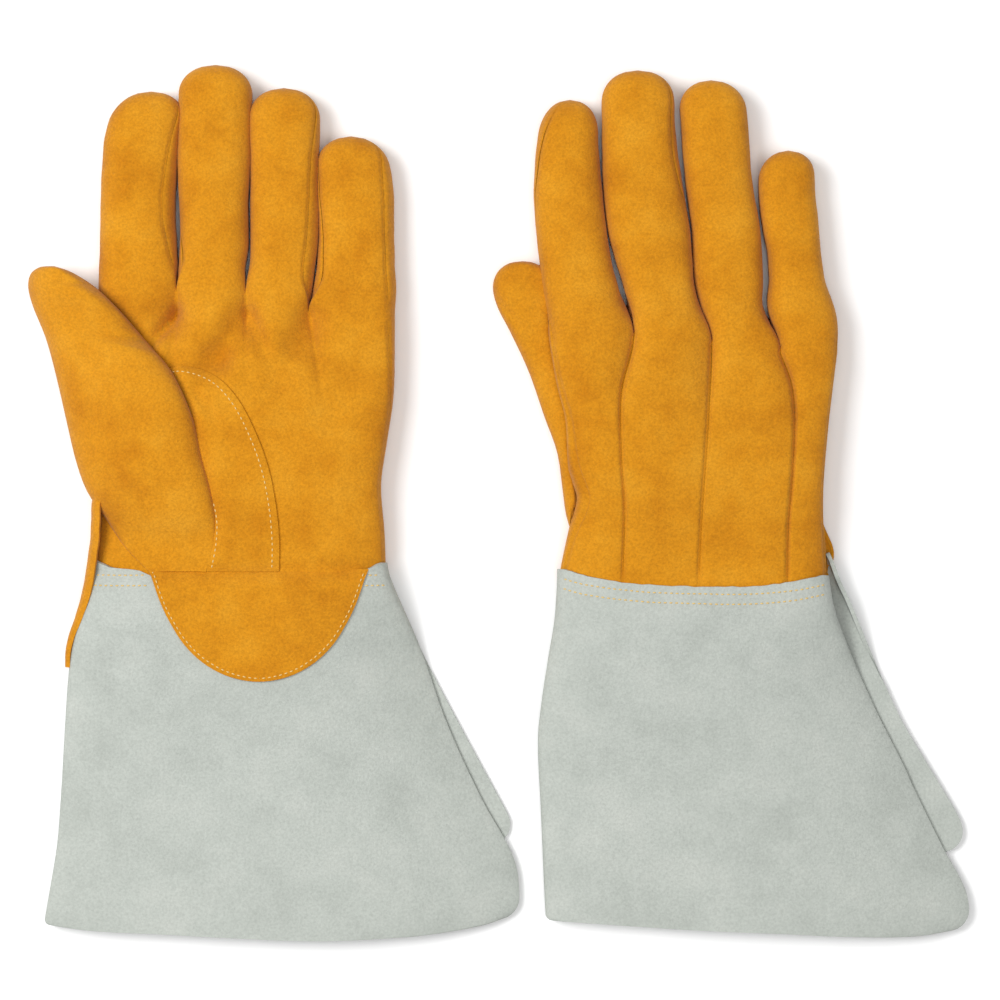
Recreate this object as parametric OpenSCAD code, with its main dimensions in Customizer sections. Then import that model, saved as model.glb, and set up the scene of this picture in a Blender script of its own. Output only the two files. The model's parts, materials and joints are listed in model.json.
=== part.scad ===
// A pair of gauntlet welding gloves, lying flat side by side.
// The left glove lies palm up and the right glove lies back up, so both thumbs point to -X.
//
// Each glove is drawn once, in its own frame: X across the hand, Y from the wrist seam (0) to
// the fingertips, Z from the back of the hand (0) to the palm. placed() then lays it down.
// A glove is a hand with a cuff, four finger tubes and a thumb tube. Each tube is a front, a
// back, side strips and a lining, and turns on the crease at its base.

/* [Pair] */
// Left glove: middle of its wrist seam, across the pair
left_x = -105; // [-125:1:-100]
// Left glove: its wrist seam, along the pair
left_y = -25.3; // [-40:0.1:-10]
// Right glove: middle of its wrist seam, across the pair
right_x = 79; // [75:0.1:95]
// Right glove: its wrist seam, along the pair
right_y = -31; // [-40:0.5:-10]

/* [Leather] */
// Thickness of the flattened glove between its outer faces
glove_h = 24; // [20:0.5:30]
// Thickness of the hand and cuff leather
leather = 1.6; // [1.2:0.1:2.2]
// Thickness of the lining
lining = 1.2; // [0.8:0.1:1.6]
// Thickness of the reinforcing patches on the palm
patch_t = 1.4; // [1:0.1:2]
// Width and depth of a row of thread
thread = 0.6; // [0.4:0.1:0.8]

/* [Hand] */
// Width at the wrist seam
wrist_w = 116; // [110:1:120]
// Wrist seam to the crotches between the fingers
crotch_y = 97; // [92:1:100]

/* [Fingers] */
// Width of the index finger tube
index_w = 31; // [28:0.5:33]
// Width of the middle finger tube
middle_w = 27.4; // [26:0.2:30]
// Width of the ring finger tube
ring_w = 25.6; // [25:0.2:29]
// Width of the little finger tube
little_w = 32; // [27:0.5:33]
// Base crease to fingertip, index finger
index_l = 78; // [70:1:85]
// Base crease to fingertip, middle finger
middle_l = 87; // [78:1:92]
// Base crease to fingertip, ring finger
ring_l = 81; // [72:1:88]
// Base crease to fingertip, little finger
little_l = 66; // [58:1:70]
// Lean of the left glove's fingers away from the thumb, degrees
left_lean = 0.8; // [-2:0.2:2]
// Lean of the right glove's fingers away from the thumb, degrees
right_lean = -6; // [-7:0.5:2]

/* [Thumb] */
// Width of the thumb tube at its base crease
thumb_w = 48; // [42:1:52]
// Width of the thumb tube near its tip
thumb_tip_w = 31; // [27:1:34]
// Base crease to the tip
thumb_l = 67.5; // [60:0.5:72]
// Lean of the left glove's thumb away from the fingers, degrees
left_thumb_lean = 29; // [27:1:34]
// Lean of the right glove's thumb away from the fingers, degrees
right_thumb_lean = 33; // [32:1:36]
// Height of the hand where the thumb lies over it
under_thumb = 12; // [11:0.5:13]

/* [Cuff] */
// Wrist seam to the mouth, left glove
left_cuff_l = 152; // [130:1:160]
// Wrist seam to the mouth, right glove
right_cuff_l = 145; // [130:1:160]
// Radius of the corner at the open slit
corner_r = 13; // [8:1:20]
// Radius of the half-moon patch under the palm
half_moon_r = 44.5; // [40:0.5:48]

/* [Hidden] */
$fn = 48;
LEFT = 0;
RIGHT = 1;
HAND = ["left", "right"];
FINGER = ["index", "middle", "ring", "little"];
FINGERS = [0:3];
finger_w = [index_w, middle_w, ring_w, little_w];
finger_l = [index_l, middle_l, ring_l, little_l];
crease_y = [114, 116, 114, 108];  // base crease of each finger, from the wrist seam
finger_gap = 0.8;                 // between neighbouring tubes
lean = [left_lean, right_lean];
knuckle_shift = [0, -1.5];        // of the whole row of fingers, per glove

crease = 2.5;     // open half-width of a base crease, on the palm side
joint_gap = 0.5;  // half-width of the same crease everywhere else
pivot_drop = 2;   // depth of a crease's axis under the palm face
pivot_z = glove_h - pivot_drop;
seam = 0.2;       // half-width of the seams between the strips of the back
thumb_air = 0.4;  // between the thumb tube and the hand under it
thumb_base = [[-45.5, 60], [-47.5, 60]];
thumb_lean = [left_thumb_lean, right_thumb_lean];
web_x = [-57.5, -52];  // the hand's edge just above the thumb's base crease, per glove
thumb_low = under_thumb + thumb_air;
swing = 7;         // how far the thumb's wide base swings towards the tip as it lifts

gold = "goldenrod";
grey = "lightgray";
cream = "beige";
white = "white";

function total(v, n) = n == 0 ? 0 : v[n - 1] + total(v, n - 1);
// middle of finger f at its base crease
function knuckle(side, f) = [
    total(finger_w, f) + f * finger_gap + finger_w[f] / 2
        - (total(finger_w, 4) + 3 * finger_gap) / 2 + 1.5 + knuckle_shift[side],
    crease_y[f]];
function arc(c, r, from, to, steps) = [for (i = [0:steps])
    c + r * [cos(from + (to - from) * i / steps), sin(from + (to - from) * i / steps)]];
function ellipse(c, rx, ry, steps) = [for (i = [0:steps - 1])
    c + [rx * cos(360 * i / steps), ry * sin(360 * i / steps)]];
// points from a to b, bowed sideways by sag
function bow(a, b, sag, steps) = [for (i = [0:steps])
    let (s = i / steps, across = [b[1] - a[1], a[0] - b[0]] / norm(b - a))
    a + (b - a) * s + across * sag * 4 * s * (1 - s)];

// ---- placing ----

// lays a glove down: the left one on its back, the right one on its palm
module placed(side) {
    if (side == LEFT)
        translate([left_x, left_y, 0]) children();
    else
        translate([right_x, right_y, glove_h + patch_t]) mirror([0, 0, 1]) children();
}

// the frame of finger f: Y along the finger from its base crease
module at_finger(side, f) {
    translate(knuckle(side, f)) rotate(-lean[side]) children();
}

module at_thumb(side) {
    translate(thumb_base[side]) rotate(thumb_lean[side]) children();
}

module slab(from, to) {
    translate([0, 0, from]) linear_extrude(to - from) children();
}

// ---- outlines, each drawn n inside its outer edge ----

module finger_outline(f, n, from) {
    r = finger_w[f] / 2 - n;
    straight = finger_l[f] - finger_w[f] / 2;
    translate([-r, from]) square([2 * r, straight - from]);
    translate([0, straight]) circle(r);
}

// on the palm side the base keeps its full width as far as y = wide_to
module thumb_outline(n, from, wide_to = -100) {
    r = thumb_tip_w / 2 - n;
    straight = thumb_l - thumb_tip_w / 2;
    base = r + (thumb_w - thumb_tip_w) / 2 * (1 - from / straight);
    polygon(concat(
        [[-base, from], [base, from]],
        wide_to > from ? [[base, wide_to]] : [],
        [[r, straight], [-r, straight]]));
    translate([0, straight]) circle(r);
}

// a point of finger f's root: on its thumb side (-1) or little side (1), n inside, at height y
function root_point(side, f, hand, n, y) =
    let (k = knuckle(side, f), x = hand * (finger_w[f] / 2 - n), a = lean[side], up = y - k[1])
    [k[0] + x * cos(a) + up * sin(a), k[1] - x * sin(a) + up * cos(a)];

// the palm and the roots of the fingers, n inside the edge. The wrist and the base creases
// are open ends: open moves only those outwards.
function hand_points(side, n, open) = concat(
    [[n - wrist_w / 2, -open], [n - wrist_w / 2 - 2, 28], [n - 66.5, 48], [web_x[side] + n, 54]],
    [for (f = FINGERS) each [
        root_point(side, f, -1, n, crotch_y - (f > 0 ? n : 0)),
        root_point(side, f, -1, n, crease_y[f] - joint_gap + open),
        root_point(side, f, 1, n, crease_y[f] - joint_gap + open),
        root_point(side, f, 1, n, crotch_y - (f < 3 ? n : 0))]],
    [[wrist_w / 2 - n, 40], [wrist_w / 2 - n, -open]]);

module cuff_outline(side) {
    length = side == LEFT ? left_cuff_l : right_cuff_l;
    thumb_x = side == LEFT ? -79.5 : -60;
    little_x = side == LEFT ? 115 : 112.5;
    half = wrist_w / 2;
    polygon(concat(
        bow([-half, 0], [thumb_x, 12 - length], side == LEFT ? 3 : 5, 8),
        arc([thumb_x + 8, 8 - length], 8, 180, 270, 5),
        arc([little_x - corner_r, corner_r - length], corner_r, -90, 20, 8),
        [[half, 0]]));
}

// ---- hand ----

// where the thumb tube lies over the hand, grown by n
module thumb_zone(side, n) {
    at_thumb(side) thumb_outline(-n - thumb_air, -crease, swing);
}

// the hand as a solid whose faces lie n inside the outer ones, pressed down under the thumb
module hand_solid(side, n, open) {
    difference() {
        slab(n, glove_h - n) polygon(hand_points(side, n, open));
        slab(under_thumb - n, glove_h + 1) thumb_zone(side, n);
    }
}

// one leather piece: palm, the fronts of the finger roots and the step down under the thumb
module palm_panel(side) {
    color(gold) {
        slab(glove_h - leather, glove_h) difference() {
            polygon(hand_points(side, 0, 0));
            thumb_zone(side, 0);
            for (f = FINGERS)
                at_finger(side, f) translate([-(finger_w[f] + finger_gap) / 2, -crease])
                    square([finger_w[f] + finger_gap, crease + 1]);
        }
        slab(under_thumb, glove_h - leather) intersection() {
            polygon(hand_points(side, leather, 0));
            difference() {
                thumb_zone(side, leather);
                thumb_zone(side, 0);
            }
        }
        slab(under_thumb - leather, under_thumb) intersection() {
            polygon(hand_points(side, leather, 0));
            thumb_zone(side, leather);
        }
    }
}

// edges of the four strips of the back at the wrist seam
strip_x = [-wrist_w / 2, -29.5, 1.5, 37, wrist_w / 2];

// strip f of the back, from the wrist seam to the base crease of its finger
function strip_points(side, f) = concat(
    f == 0 ? [for (i = [0:4]) hand_points(side, 0, 0)[i]]
        : [[strip_x[f] + seam, 0], root_point(side, f, -1, 0, crotch_y - 1)],
    [root_point(side, f, -1, 0, crease_y[f] - joint_gap),
     root_point(side, f, 1, 0, crease_y[f] - joint_gap)],
    f == 3 ? [root_point(side, f, 1, 0, crotch_y), [wrist_w / 2, 40], [wrist_w / 2, 0]]
        : [root_point(side, f, 1, 0, crotch_y - 1), [strip_x[f + 1] - seam, 0]]);

// one strip of the back, with the side walls that it turns up to meet the palm
module back_strip(side, f) {
    color(gold) difference() {
        union() {
            slab(0, leather) polygon(strip_points(side, f));
            slab(leather, glove_h - leather) intersection() {
                polygon(strip_points(side, f));
                difference() {
                    polygon(hand_points(side, 0, 0));
                    polygon(hand_points(side, leather, 1));
                }
            }
        }
        slab(under_thumb, glove_h + 1) thumb_zone(side, 0);
    }
}

// the tail of the index strip, which laps round the edge of the cuff
module wrist_tail(side) {
    color(gold) slab(4, 15) difference() {
        translate([-leather, 0]) cuff_outline(side);
        cuff_outline(side);
        translate([-100, -200]) square([220, 155]);
        translate([0, -200]) square([200, 220]);
    }
}

module hand_lining(side) {
    color(white) difference() {
        hand_solid(side, leather, 0);
        hand_solid(side, leather + lining, 1);
    }
}

// ---- patches ----

module crescent_outline(side, edge) {
    difference() {
        polygon(ellipse([-30, 15], 46 - edge, 66 - edge, 72));
        polygon(ellipse([-30, 15], 20 + edge, 55 + edge, 72));
        at_thumb(side) thumb_outline(-2 - edge, -crease - 1);
        translate([-100, -100]) square([200, 100.5 + edge]);
        translate([-100, -100]) square([74, 220]);
    }
}

module thumb_crotch_patch(side) {
    color(gold) difference() {
        slab(glove_h, glove_h + patch_t) crescent_outline(side, 0);
        slab(glove_h + patch_t - thread, glove_h + patch_t + 1) crescent_row(side);
    }
}

// the curved row of thread inside the crescent's outer edge
module crescent_row(side) {
    difference() {
        crescent_outline(side, 3);
        polygon(ellipse([-30, 15], 43 - thread, 63 - thread, 72));
    }
}

module half_moon(r) {
    intersection() {
        translate([6.5, -2]) circle(r);
        translate([-60, -62]) square([120, 60]);
    }
}

module wrist_patch() {
    color(gold) difference() {
        slab(glove_h, glove_h + patch_t) half_moon(half_moon_r);
        slab(glove_h + patch_t - thread, glove_h + patch_t + 1) half_moon_row();
    }
}

module half_moon_row() {
    difference() {
        half_moon(half_moon_r - 1.2);
        half_moon(half_moon_r - 1.2 - thread);
    }
}

// ---- cuff ----

// two straight rows of thread just under the wrist seam
module cuff_rows(side) {
    intersection() {
        cuff_outline(side);
        for (y = [-3.5, -7.5])
            translate([-100, y - thread]) square([200, thread]);
    }
}

module cuff_front(side) {
    color(grey) difference() {
        slab(glove_h - leather, glove_h) cuff_outline(side);
        slab(glove_h - thread, glove_h + 1) cuff_rows(side);
    }
}

// the lower half of the cuff, with the fold that joins it to the front at the thumb side
module cuff_back(side) {
    color(grey) difference() {
        union() {
            slab(0, leather) cuff_outline(side);
            slab(leather, glove_h - leather) difference() {
                cuff_outline(side);
                translate([leather, 0]) cuff_outline(side);
                translate([0, -200]) square([200, 220]);
                translate([-100, -200]) square([200, 62]);
            }
        }
        slab(-1, thread) cuff_rows(side);
    }
}

module stitching(side) {
    color(cream) {
        slab(glove_h - thread, glove_h) difference() {
            cuff_rows(side);
            half_moon(half_moon_r);
        }
        slab(0, thread) cuff_rows(side);
        slab(glove_h + patch_t - thread, glove_h + patch_t) {
            crescent_row(side);
            half_moon_row();
        }
    }
}

// ---- fingers ----

module finger_front(side, f) {
    color(gold) at_finger(side, f)
        slab(glove_h - leather, glove_h) finger_outline(f, 0, crease);
}

module finger_back(side, f) {
    color(gold) at_finger(side, f)
        slab(0, leather) finger_outline(f, 0, joint_gap);
}

// the strips that join front and back, up one side, round the tip and down the other
module finger_sides(side, f) {
    color(gold) at_finger(side, f)
        slab(leather, glove_h - leather) difference() {
            finger_outline(f, 0, joint_gap);
            finger_outline(f, leather, 0);
        }
}

module finger_lining(side, f) {
    inset = leather + lining;
    color(white) at_finger(side, f) difference() {
        slab(leather, glove_h - leather) finger_outline(f, leather, joint_gap);
        slab(inset, glove_h - inset) finger_outline(f, inset, 0);
    }
}

// ---- thumb ----

// the outer half of the thumb tube, with the walls down to its seam
module thumb_front(side) {
    color(gold) at_thumb(side) {
        slab(glove_h - leather, glove_h) thumb_outline(0, crease);
        slab(thumb_low + leather, glove_h - leather) difference() {
            thumb_outline(0, joint_gap);
            thumb_outline(leather, 0);
        }
    }
}

module thumb_back(side) {
    color(gold) at_thumb(side) slab(thumb_low, thumb_low + leather) thumb_outline(0, joint_gap);
}

module thumb_lining(side) {
    inset = leather + lining;
    color(white) at_thumb(side) difference() {
        slab(thumb_low + leather, glove_h - leather) thumb_outline(leather, joint_gap);
        slab(thumb_low + inset, glove_h - inset) thumb_outline(inset, -1);
    }
}

// ---- nodes ----

HAND_PIECES = ["palm_panel", "back_index", "back_middle", "back_ring", "back_little",
    "hand_lining", "thumb_crotch_patch", "wrist_patch", "cuff_front", "cuff_back", "stitching",
    "thumb_front", "thumb_back", "thumb_lining"];
FINGER_PIECES = ["front", "back", "sides", "lining"];
NODES = [for (hand = HAND) each concat(
    [for (piece = HAND_PIECES) str(hand, "_", piece)],
    [for (finger = FINGER) for (piece = FINGER_PIECES) str(hand, "_", finger, "_", piece)])];
node = "all";

function wanted(side, piece) = node == "all" || node == str(HAND[side], "_", piece);

for (side = [LEFT, RIGHT]) placed(side) {
    if (wanted(side, "palm_panel")) palm_panel(side);
    for (f = FINGERS)
        if (wanted(side, str("back_", FINGER[f]))) {
            back_strip(side, f);
            if (f == 0) wrist_tail(side);
        }
    if (wanted(side, "hand_lining")) hand_lining(side);
    if (wanted(side, "thumb_crotch_patch")) thumb_crotch_patch(side);
    if (wanted(side, "wrist_patch")) wrist_patch();
    if (wanted(side, "cuff_front")) cuff_front(side);
    if (wanted(side, "cuff_back")) cuff_back(side);
    if (wanted(side, "stitching")) stitching(side);
    if (wanted(side, "thumb_front")) thumb_front(side);
    if (wanted(side, "thumb_back")) thumb_back(side);
    if (wanted(side, "thumb_lining")) thumb_lining(side);
    for (f = FINGERS) {
        if (wanted(side, str(FINGER[f], "_front"))) finger_front(side, f);
        if (wanted(side, str(FINGER[f], "_back"))) finger_back(side, f);
        if (wanted(side, str(FINGER[f], "_sides"))) finger_sides(side, f);
        if (wanted(side, str(FINGER[f], "_lining"))) finger_lining(side, f);
    }
}
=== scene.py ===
"""A pair of gauntlet welding gloves in suede, lying flat: left palm up, right back up.

Each glove is worked out in its own frame, in millimetres: u across the hand (the thumb is at
-u), v from the wrist seam to the fingertips and z above the surface that the pair lies on.
The hand and the fingers are one sewn skin. It is a grid of columns round each finger and rows
along the glove, and it is then cut along its seams into leather pieces with a thickness.
"""
import json
import math
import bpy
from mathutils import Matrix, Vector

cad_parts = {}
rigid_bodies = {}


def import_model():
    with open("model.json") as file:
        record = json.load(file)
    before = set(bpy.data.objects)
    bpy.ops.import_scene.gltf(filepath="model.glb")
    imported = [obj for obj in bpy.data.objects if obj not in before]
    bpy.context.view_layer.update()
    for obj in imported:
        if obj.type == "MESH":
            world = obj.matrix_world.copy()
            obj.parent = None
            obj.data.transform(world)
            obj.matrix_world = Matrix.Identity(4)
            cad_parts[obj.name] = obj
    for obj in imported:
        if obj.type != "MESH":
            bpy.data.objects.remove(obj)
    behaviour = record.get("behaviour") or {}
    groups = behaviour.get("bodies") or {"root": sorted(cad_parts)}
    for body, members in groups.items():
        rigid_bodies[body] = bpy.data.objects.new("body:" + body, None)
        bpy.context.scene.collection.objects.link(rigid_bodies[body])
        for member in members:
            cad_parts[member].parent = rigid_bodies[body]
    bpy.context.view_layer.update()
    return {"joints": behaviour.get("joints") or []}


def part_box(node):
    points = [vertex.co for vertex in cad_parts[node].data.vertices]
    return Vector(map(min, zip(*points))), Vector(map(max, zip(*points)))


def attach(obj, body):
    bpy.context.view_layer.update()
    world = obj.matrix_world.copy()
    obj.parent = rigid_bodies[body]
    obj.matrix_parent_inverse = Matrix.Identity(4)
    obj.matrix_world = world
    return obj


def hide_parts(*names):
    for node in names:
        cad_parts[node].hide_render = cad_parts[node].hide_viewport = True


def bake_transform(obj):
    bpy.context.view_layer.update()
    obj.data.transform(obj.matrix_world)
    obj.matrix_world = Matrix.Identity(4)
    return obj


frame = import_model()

from types import SimpleNamespace

import bpy
from mathutils import Vector, noise

MM = 0.001
FINGERS = ("index", "middle", "ring", "little")
GOLD, GREY, LINING, THREAD = "gold_suede", "grey_suede", "lining", "thread"

# thicknesses
LEATHER = 1.5        # hand, fingers and thumb
CUFF_T = 1.6
PATCH_T = 1.3
TAIL_T = 1.2
FLEECE = 1.1         # the lining
LINING_IN = 2.4      # from the leather's outer skin to the lining's face

# grids
COLUMNS = 18         # across the front or the back of one finger
SIDE_TURNS = (0, 0.07, 0.2, 0.36, 0.52, 0.68, 0.82, 0.94, 1)
SIDE = len(SIDE_TURNS) - 1   # columns down the side of a finger
ROW = 2.1            # spacing of the rows along a finger
HAND_START = -5.0    # v of the hand's first row, inside the cuff
HAND_ROWS = 50       # from there to the crotches
LAST_COLUMN = 4 * COLUMNS   # of the hand
EASE = 6             # rows over which a finger takes its own shape
THUMB_ROWS, THUMB_COLUMNS = 64, 22
THUMB_END = 0.999    # how far along the thumb its last row is, just before it closes
CUFF_COLUMNS = 56    # across one layer of the cuff
CUFF_STRAIGHT, CUFF_ROUND = 52, 7   # rows above and along the corner at its mouth
RIM_ROWS = 8         # rows that follow the cuff's upper edge
MOON_COLUMNS, MOON_ROWS = 36, 26
CRESCENT_COLUMNS, CRESCENT_ROWS = 12, 44

# sections: an exponent of 2 is an ellipse, and a higher one is squarer
HAND_H = 25.0        # thickness of the hand
WRIST_H = 21.5       # and at the wrist
FINGER_H = (22.5, 22.5, 21.5, 21.0)
TIP_CAP = (14, 13, 13.5, 13)   # length of each fingertip's rounding
MIDDLE = 0.42        # height of the widest line, as a share of the thickness
ROUND = 2.7          # upper side of a finger
LOW_ROUND = 4.5      # lower side of a finger
FLAT = 7.0           # the side that lies on the surface
CORNER = 0.9         # how far out across a finger its front meets its side strip
NO_SEAM = 0.985      # a seam this far out is hidden on the finger's edge
SEAM_DEEP = 1.0      # how far a turned seam is drawn in

# places
SEAM_V = -2.0        # the wrist seam of the palm face
PATCH_U = 6.5        # middle of the half-moon, across the glove
HALF_MOON = 44.6     # half its width at the wrist seam, and its depth
THUMB_BASE_V = 60    # below this the thumb is sewn flat into the palm
MOUTH_H = 14.0       # how far the cuff stands open at its mouth
FOLD_R, TOP_R, LOW_R = 2.5, 9, 12   # the cuff's corners: at the fold, and at the slit's two edges
FINGER_BEND = (-1, 24)   # stretch of a finger that bends, from its crease
THUMB_BEND = (-8, 18)
STITCH, PITCH, THREAD_R = 1.4, 2.3, 0.28   # length and spacing of the stitches
MOON_SEAM_IN = 1.3   # from the half-moon's edge to its stitches


# -------- small maths

def lerp(a, b, t):
    return a + (b - a) * t


def clamp(x, low=0.0, high=1.0):
    return max(low, min(high, x))


def step(low, high, x):
    """0 below low, 1 above high and smooth between."""
    t = clamp((x - low) / (high - low))
    return t * t * (3 - 2 * t)


def hump(x, centre, width):
    return math.exp(-((x - centre) / width) ** 2)


def through(*points):
    """A smooth function through (x, y) points, level beyond both ends."""
    xs, ys = zip(*points)
    last = len(xs) - 1

    def slope(i):
        a, b = max(i - 1, 0), min(i + 1, last)
        return (ys[b] - ys[a]) / (xs[b] - xs[a])

    def at(x):
        x = clamp(x, xs[0], xs[-1])
        i = 0
        while i < last - 1 and x > xs[i + 1]:
            i += 1
        d = xs[i + 1] - xs[i]
        t = (x - xs[i]) / d
        t2, t3 = t * t, t * t * t
        return ((2 * t3 - 3 * t2 + 1) * ys[i] + (t3 - 2 * t2 + t) * d * slope(i)
                + (3 * t2 - 2 * t3) * ys[i + 1] + (t3 - t2) * d * slope(i + 1))
    return at


def arch(x, power):
    """Height of a rounded section at x, from 1 in the middle to 0 at x = 1 or -1."""
    return (1 - min(abs(x), 1) ** power) ** (1 / power)


def rumple(u, v, scale, seed):
    """Smooth noise, about -1 to 1, with bumps scale millimetres apart."""
    return noise.noise(Vector((u / scale, v / scale, seed * 7.31)))


# -------- shape of each glove

# (u, v) of the thumb's palm edge where it is sewn down, on both gloves
THUMB_SEWN = ((-13, -2), (-10.2, 11), (-9.8, 21), (-12, 32), (-15.6, 45), (-19, 60))

# edge: the hand's two sides; seams: between the finger strips; crotch_up and crotch_down: v of the
# five ends of those lines on the upper and the lower skin; centre, width, tip, tip_skew: each
# finger's; corners: how far out a finger's upper strip meets its side, where that seam shows;
# hand_corner: the same for the hand's two sides; cuff_rim: how the cuff's upper edge sags;
# thumb_left and thumb_right: the thumb's outer and palm edge; cuff_l: length of the upper layer;
# mouth: how far its end is from level; cuff_left: the fold; cuff_top and cuff_low: the slit's
# upper and lower edge; cuff_low_l and cuff_low_end: the lower layer's length at fold and at slit;
# patch_shift: how far the half-moon sits to the side of PATCH_U; seed: of the glove's own rumples.
LEFT = SimpleNamespace(
    name="left", palm_up=True, seed=1,
    edge=(
        through((0, -60), (12, -59.4), (30, -58), (60, -57.5), (104, -58.5)),
        through((0, 58.5), (13, 58.1), (33, 56.7), (50, 59), (70, 61.8), (104, 62.3))),
    seams=(
        through((0, -29.5), (60, -29), (111, -26)),
        through((0, 1.5), (60, 2), (110, 2)),
        through((0, 37), (60, 34), (103, 27.5))),
    crotch_up=(107, 111, 110, 103, 98),
    crotch_down=(99, 100, 99, 95, 91),
    centre=(
        through((100, -42.2), (122, -41.8), (150, -42), (191, -39.2)),
        through((100, -12), (118, -12.2), (132, -11), (150, -11.3), (180, -10.8), (202, -10.4)),
        through((100, 15.4), (118, 16.4), (130, 17.4), (150, 17.6), (180, 17.2), (193, 17)),
        through((95, 45.2), (130, 46.6), (155, 46), (173, 44.8))),
    width=(
        through((100, 32.5), (118, 31.4), (145, 31), (191, 29.4)),
        through((100, 28), (118, 27.6), (132, 28.4), (150, 28.2), (180, 30.4), (202, 30)),
        through((100, 27.4), (118, 26.4), (130, 27.2), (150, 28), (180, 29.2), (193, 27.4)),
        through((95, 34), (130, 31.6), (155, 30.6), (173, 27))),
    tip=(192.7, 203.5, 194.1, 174.5),
    tip_skew=(2.4, -0.2, 0.2, -0.4),
    corners={
        (0, "right"): through((104, 0.94), (120, 0.9), (139, 0.7), (153, 0.68), (177, 0.82), (188, 0.9)),
        (1, "left"): through((106, 0.97), (116, 0.80), (124, 0.84), (134, 0.96), (142, 0.985)),
        (2, "right"): through((102, 0.95), (116, 0.68), (133, 0.66), (165, 0.78), (186, 0.93)),
        (3, "left"): through((99, 0.95), (110, 0.78), (122, 0.82), (140, 0.88), (165, 0.95)),
        (3, "right"): through((96, 0.82), (137, 0.75), (160, 0.76), (170, 0.9))},
    hand_corner=(
        through((0, 0.985), (100, 0.97)),
        through((60, 0.99), (81, 0.97), (104, 0.945))),
    cuff_rim=through((-60, 3.2), (-52, -0.3), (-44, -1.1), (-38.6, -1.8), (-34, -4), (44, -4), (49, -1.6),
        (53, -0.3), (58, 1.6)),
    thumb_left=((-37, -2), (-47.5, 8.5), (-55, 19.5), (-62.3, 30), (-66.8, 42), (-70.2, 56), (-74.8, 76),
        (-79.1, 92), (-84.3, 105), (-86.3, 113), (-85.3, 118.4), (-82, 121), (-78.2, 121.6)),
    thumb_right=(*THUMB_SEWN, (-27, 78), (-38, 91), (-49.6, 104.5), (-59, 113.2), (-68, 118.9),
        (-75, 121.4)),
    patch_shift=0.9,
    cuff_l=152.4,
    mouth=through((-1, -6.4), (-0.8, -4.2), (-0.5, -3), (-0.2, -1.6), (0.2, -0.2), (0.58, -1.6),
        (0.75, -3.2), (0.92, -6), (1, -8.4)),
    cuff_left=through((-152, -80.6), (-146, -79.6), (-120, -75.5), (-98, -73.8), (-66, -72), (-44, -70.4),
        (-30, -68.4), (-20, -65.6), (-10, -62.8), (0, -60.4)),
    cuff_top=through((-152, 113.2), (-128, 111.2), (-99, 97.6), (-63, 82.8), (-33, 72.4), (-5, 60.6),
        (2, 59)),
    cuff_low=through((-114, 113.6), (-107, 110.6), (-103, 109), (-68.5, 90.4), (-42.5, 76.8), (-20, 66.4),
        (0, 58.2)),
    cuff_low_l=145,
    cuff_low_end=113)

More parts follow.
